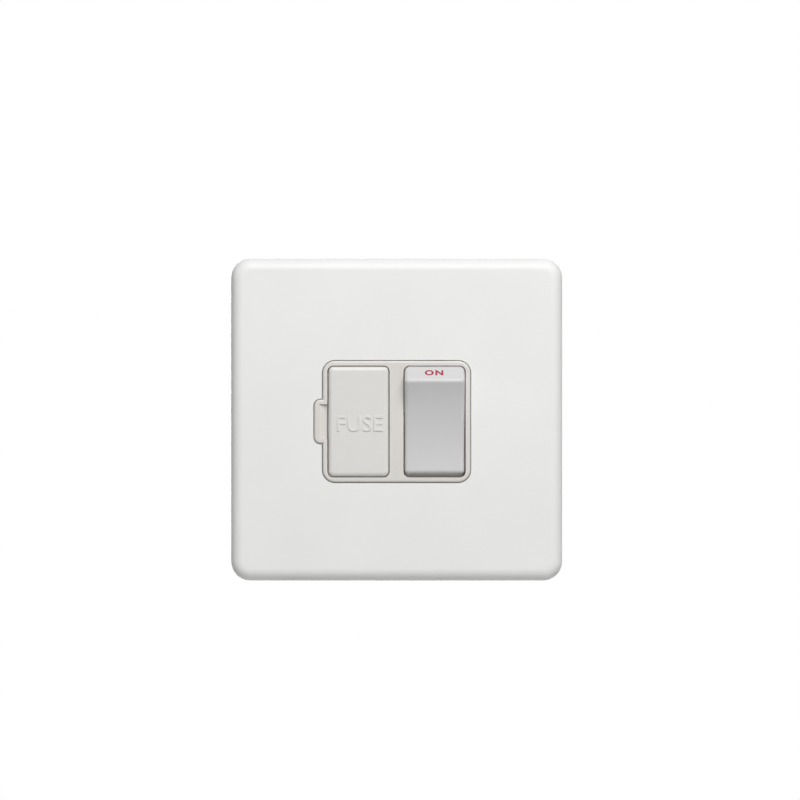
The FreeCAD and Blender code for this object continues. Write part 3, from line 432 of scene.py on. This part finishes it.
PLATE_WHITE = MouldedPlastic("plate_white", linear(239, 239, 237), roughness=0.24, specular=0.15)
FRAME_WHITE = MouldedPlastic("frame_white", linear(226, 226, 222), roughness=0.55)
BEZEL_WHITE = MouldedPlastic("bezel_white", linear(219, 216, 211))
BASE_WHITE = MouldedPlastic("base_white", linear(230, 229, 224), roughness=0.55)
ROCKER_WHITE = MouldedPlastic("rocker_white", linear(208, 207, 207), roughness=0.32)
DRAWER_WHITE = MouldedPlastic("drawer_white", linear(224, 222, 219), roughness=0.34)
PLUNGER_NYLON = MouldedPlastic("plunger_nylon", linear(222, 218, 205), roughness=0.5)
ZINC_STEEL = BareMetal("zinc_steel", linear(198, 202, 206), Grain.TURNED, roughness=0.34)
BRASS_SCREW = BareMetal("brass_screw", linear(222, 190, 118), Grain.TURNED, roughness=0.3)
TERMINAL_BRASS = BareMetal("terminal_brass", linear(226, 196, 128), Grain.DRAWN, roughness=0.32)
COPPER_STRIP = BareMetal("copper_alloy", linear(208, 164, 122), Grain.STAMPED, roughness=0.38)
SPRING_BRONZE = BareMetal("spring_bronze", linear(206, 158, 112), Grain.STAMPED, roughness=0.28)
SILVER_TIP = BareMetal("silver_tip", linear(226, 226, 224), Grain.STAMPED, roughness=0.4)
SPRING_STEEL = BareMetal("spring_steel", linear(168, 168, 172), Grain.DRAWN, roughness=0.3)
CAP_NICKEL = BareMetal("cap_nickel", linear(206, 203, 196), Grain.DRAWN, roughness=0.24)
FUSE_CERAMIC = GlazedCeramic("ceramic", linear(232, 228, 216))
ON_INK = PadInk("on_ink", linear(152, 26, 58))

Finish = MouldedPlastic | BareMetal | GlazedCeramic | PadInk
"""What a piece may be made of."""


def dress(node: str, finish: Finish, smooth_angle: float) -> None:
    """Give a node of the model its finish, and shade its round faces smoothly.

    Args:
        node: The node's name.
        finish: What it is made of.
        smooth_angle: Faces that meet at less than this angle, in degrees, shade as one.
    """
    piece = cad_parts[node]
    dress_piece(piece, finish)
    piece.data.set_sharp_from_angle(angle=math.radians(smooth_angle))
    log.info("dressed %s", node)


def dress_piece(piece: bpy.types.Object, finish: Finish) -> None:
    """Put one material on a whole piece, made once for each finish.

    Args:
        piece: The piece.
        finish: What it is made of.
    """
    material = bpy.data.materials.get(f"finish_{finish.name}")
    if material is None:
        material = finish.material()
        material.name = f"finish_{finish.name}"
    piece.data.materials.clear()
    piece.data.materials.append(material)


@dataclass
class Lettering:
    """A word in plain capitals, fitted to its real width and height."""

    word: str
    width: float
    height: float
    rise: float
    edge: float = 0.0
    weight: float = 0.0
    spacing: float = 1.0
    root: float = 0.02 * MM
    capital_share: float = 0.7
    bevel_steps: int = 2
    curve_steps: int = 5
    smooth_angle: float = 40.0

    def mesh(self) -> bpy.types.Mesh:
        """Make the word about the origin, upright in X and Y and rising along +Z from the plane z = 0.

        Returns:
            The word's mesh, which also reaches a little below that plane.
        """
        curve = bpy.data.curves.new(self.word, "FONT")
        curve.body = self.word
        curve.size = self.height / self.capital_share
        curve.space_character = self.spacing
        curve.extrude = (self.rise + self.root) / 2 - self.edge
        curve.bevel_depth = self.edge
        curve.bevel_resolution = self.bevel_steps
        curve.offset = self.weight - self.edge
        curve.resolution_u = self.curve_steps
        holder = bpy.data.objects.new(self.word, curve)
        bpy.context.scene.collection.objects.link(holder)
        mesh = bpy.data.meshes.new_from_object(holder.evaluated_get(bpy.context.evaluated_depsgraph_get()))
        bpy.data.objects.remove(holder)
        bpy.data.curves.remove(curve)
        low = Vector(min(point.co[axis] for point in mesh.vertices) for axis in range(3))
        high = Vector(max(point.co[axis] for point in mesh.vertices) for axis in range(3))
        fit = Matrix.Diagonal((self.width / (high.x - low.x), self.height / (high.y - low.y), 1, 1))
        shift = Matrix.Translation((-(low.x + high.x) / 2, -(low.y + high.y) / 2, -low.z - self.root))
        mesh.transform(fit @ shift)
        return mesh

    def lay(self, name: str, spot: Vector, out: Vector, finish: Finish, body: str) -> None:
        """Lay the word on a face of the model.

        Args:
            name: The piece's name.
            spot: Where its middle lies on the face.
            out: The face's outward direction.
            finish: What it is made of.
            body: The body that it moves with.
        """
        across = Vector((1, 0, 0))
        up = out.cross(across)
        turn = Matrix((across, up, out)).transposed().to_4x4()
        mesh = self.mesh()
        mesh.transform(Matrix.Translation(spot) @ turn)
        mesh.set_sharp_from_angle(angle=math.radians(self.smooth_angle))
        piece = bpy.data.objects.new(name, mesh)
        bpy.context.scene.collection.objects.link(piece)
        dress_piece(piece, finish)
        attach(piece, body)
        log.info("laid %s", name)


@dataclass
class Assembly:
    """A group of nodes that are dressed together."""

    smooth_angle: float = 32.0

    def finishes(self) -> Iterable[tuple[str, Finish]]:
        """Give each node with its finish."""
        return ()

    def build(self) -> None:
        """Dress every node."""
        for node, finish in self.finishes():
            dress(node, finish, self.smooth_angle)


@dataclass
class Cover(Assembly):
    """The clip-on plate and the frame that it clips to."""

    def finishes(self) -> Iterable[tuple[str, Finish]]:
        """Give each node with its finish."""
        return (("front_plate", PLATE_WHITE), ("support_frame", FRAME_WHITE), ("frame_screws", ZINC_STEEL))


@dataclass
class Mechanism(Assembly):
    """The two mouldings of the mechanism, with their screws."""

    def finishes(self) -> Iterable[tuple[str, Finish]]:
        """Give each node with its finish."""
        return (("front_moulding", BEZEL_WHITE), ("rear_housing", BASE_WHITE), ("housing_screws", ZINC_STEEL))


@dataclass
class Switch(Assembly):
    """The rocker with its print, and what it drives."""

    print_word: Lettering = field(default_factory=lambda: Lettering(
        "ON", width=4.9 * MM, height=2.15 * MM, rise=0.012 * MM, weight=0.13 * MM, spacing=1.2))
    print_across: float = -0.15 * MM
    print_z: float = 12.9 * MM
    end_slope: float = 0.4

    def finishes(self) -> Iterable[tuple[str, Finish]]:
        """Give each node with its finish.

        Returns:
            The rocker, and the pieces of both poles.
        """
        nodes: list[tuple[str, Finish]] = [("rocker", ROCKER_WHITE)]
        for pole in ("live", "neutral"):
            nodes += [(f"plunger_{pole}", PLUNGER_NYLON), (f"plunger_spring_{pole}", SPRING_STEEL),
                      (f"moving_contact_{pole}", COPPER_STRIP), (f"moving_tip_{pole}", SILVER_TIP),
                      (f"fixed_contact_{pole}", COPPER_STRIP), (f"fixed_tip_{pole}", SILVER_TIP),
                      (f"{pole}_bracket", COPPER_STRIP)]
        return nodes

    def end_face(self) -> tuple[Vector, Vector]:
        """Find the rocker's upper end face, which slopes up and forward.

        Returns:
            A point on the face and its outward direction.
        """
        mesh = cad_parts["rocker"].data
        slopes = [face for face in mesh.polygons
                  if face.normal.z > self.end_slope and face.normal.y < -self.end_slope]
        face = max(slopes, key=lambda slope: slope.area)
        return face.center.copy(), face.normal.copy()

    def build(self) -> None:
        """Dress every node and print ON on the rocker's upper end face."""
        super().build()
        point, out = self.end_face()
        low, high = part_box("rocker")
        x = (low[0] + high[0]) / 2 + self.print_across
        y = point.y - (self.print_z - point.z) * out.z / out.y
        self.print_word.lay("on_print", Vector((x, y, self.print_z)), out, ON_INK, "switch")


@dataclass
class Terminals(Assembly):
    """The five brass terminals and their screws."""

    def finishes(self) -> Iterable[tuple[str, Finish]]:
        """Give each node with its finish."""
        nodes = [(f"{name}_terminal", TERMINAL_BRASS)
                 for name in ("supply_live", "supply_neutral", "load_live", "load_neutral", "earth")]
        return [*nodes, ("terminal_screws", BRASS_SCREW)]


@dataclass
class FuseDrawer(Assembly):
    """The drawer with its raised word, its fuse and the clips that the fuse slides into."""

    raised_word: Lettering = field(default_factory=lambda: Lettering(
        "FUSE", width=12.1 * MM, height=4.15 * MM, rise=0.24 * MM, edge=0.07 * MM, weight=0.04 * MM))
    word_across: float = 0.38 * MM
    word_z: float = -0.54 * MM

    def finishes(self) -> Iterable[tuple[str, Finish]]:
        """Give each node with its finish."""
        return (("fuse_carrier", DRAWER_WHITE), ("fuse_barrel", FUSE_CERAMIC), ("fuse_cap_upper", CAP_NICKEL),
                ("fuse_cap_lower", CAP_NICKEL), ("fuse_clip_upper", SPRING_BRONZE),
                ("fuse_clip_lower", SPRING_BRONZE))

    def build(self) -> None:
        """Dress every node and raise FUSE from the drawer's face."""
        super().build()
        low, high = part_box("fuse_carrier")
        spot = Vector(((low[0] + high[0]) / 2 + self.word_across, low[1], self.word_z))
        self.raised_word.lay("fuse_word", spot, Vector((0, -1, 0)), DRAWER_WHITE, "drawer")


@dataclass
class Studio:
    """The camera, the lamps, the surrounding light and the floor."""

    centre_x: float = 0.92 * MM
    centre_z: float = 5.7 * MM
    frame_width: float = 213.2 * MM
    lens: float = 200.0
    sensor: float = 36.0
    key_side: tuple[float, float, float] = (0.17, -0.72, 0.67)
    key_strength: float = 0.965
    back_side: tuple[float, float, float] = (-0.15, 1.0, 0.0)
    back_strength: float = 0.4
    lamp_distance: float = 0.8
    lamp_size: float = 0.55
    front_light: float = 0.34
    back_light: float = 0.08
    light_ends: tuple[float, float] = (-1.0, 0.1)
    floor_z: float = -0.34
    floor_side: float = 2.0
    floor_colour: Colour = (0.87, 0.87, 0.87)
    floor_roughness: float = 0.8
    floor_glow: float = 0.7

    def camera(self) -> None:
        """Stand a long lens straight in front of the plate, framed as the photograph is."""
        data = bpy.data.cameras.new("camera")
        data.lens = self.lens
        data.sensor_width = self.sensor
        data.sensor_fit = "HORIZONTAL"
        camera = bpy.data.objects.new("camera", data)
        distance = self.frame_width * self.lens / self.sensor
        camera.location = (self.centre_x, -distance, self.centre_z)
        camera.rotation_euler = (math.radians(90), 0, 0)
        bpy.context.scene.collection.objects.link(camera)
        bpy.context.scene.camera = camera

    def lamp(self, name: str, side: tuple[float, float, float], strength: float) -> None:
        """Hang a soft square lamp that points at the part.

        Args:
            name: The lamp's name.
            side: The direction from the part to the lamp.
            strength: How bright a white face turned to the lamp becomes, where 1 is white.
        """
        data = bpy.data.lights.new(name, "AREA")
        data.shape = "SQUARE"
        data.size = self.lamp_size
        data.energy = strength * math.pi ** 2 * self.lamp_distance ** 2
        lamp = bpy.data.objects.new(name, data)
        direction = Vector(side).normalized()
        lamp.location = direction * self.lamp_distance
        lamp.rotation_mode = "QUATERNION"
        lamp.rotation_quaternion = direction.to_track_quat("Z", "Y")
        lamp.visible_camera = False
        bpy.context.scene.collection.objects.link(lamp)

    def world(self) -> None:
        """Light softly from the front, and show white to the camera and in reflections."""
        world = bpy.data.worlds.new("studio")
        board = Board(world)
        board.tree.nodes.clear()
        split = board.add("ShaderNodeSeparateXYZ")
        board.join(board.place("Generated"), split.inputs["Vector"])
        strength = board.spread(split.outputs["Y"], self.front_light, self.back_light, self.light_ends)
        soft = board.add("ShaderNodeBackground")
        board.join(strength, soft.inputs["Strength"])
        white = board.add("ShaderNodeBackground")
        white.inputs["Color"].default_value = (1, 1, 1, 1)
        light = board.either(board.seen(), soft.outputs["Background"], white.outputs["Background"])
        board.join(light, board.add("ShaderNodeOutputWorld").inputs["Surface"])
        bpy.context.scene.world = world

    def floor(self) -> None:
        """Lay a plain pale floor well below the plate, which keeps a faint shadow."""
        half = self.floor_side / 2
        mesh = bpy.data.meshes.new("floor")
        corners = [(-half, -half, self.floor_z), (half, -half, self.floor_z), (half, half, self.floor_z),
                   (-half, half, self.floor_z)]
        mesh.from_pydata(corners, [], [(0, 1, 2, 3)])
        floor = bpy.data.objects.new("floor", mesh)
        bpy.context.scene.collection.objects.link(floor)
        board = MaterialBoard("floor_paint")
        board.shader.inputs["Base Color"].default_value = (*self.floor_colour, 1)
        board.shader.inputs["Roughness"].default_value = self.floor_roughness
        glow = board.add("ShaderNodeEmission")
        share = board.add("ShaderNodeMath", operation="MULTIPLY")
        share.inputs[1].default_value = self.floor_glow
        board.join(board.seen(), share.inputs[0])
        paint = board.either(share.outputs[0], board.shader.outputs["BSDF"], glow.outputs["Emission"])
        board.join(paint, board.tree.nodes["Material Output"].inputs["Surface"])
        mesh.materials.append(board.material)

    def build(self) -> None:
        """Set up everything that isn't part of the object."""
        self.camera()
        self.lamp("key", self.key_side, self.key_strength)
        self.lamp("back", self.back_side, self.back_strength)
        self.world()
        self.floor()
        bpy.context.scene.view_settings.view_transform = "Standard"
        log.info("studio ready")


def main() -> None:
    """Build every sub-assembly in order."""
    logging.basicConfig(level=logging.INFO, format="%(message)s")
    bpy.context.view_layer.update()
    for assembly in (Cover(), Mechanism(), Switch(), Terminals(), FuseDrawer()):
        assembly.build()
    Studio().build()


if __name__ == "__main__":
    main()
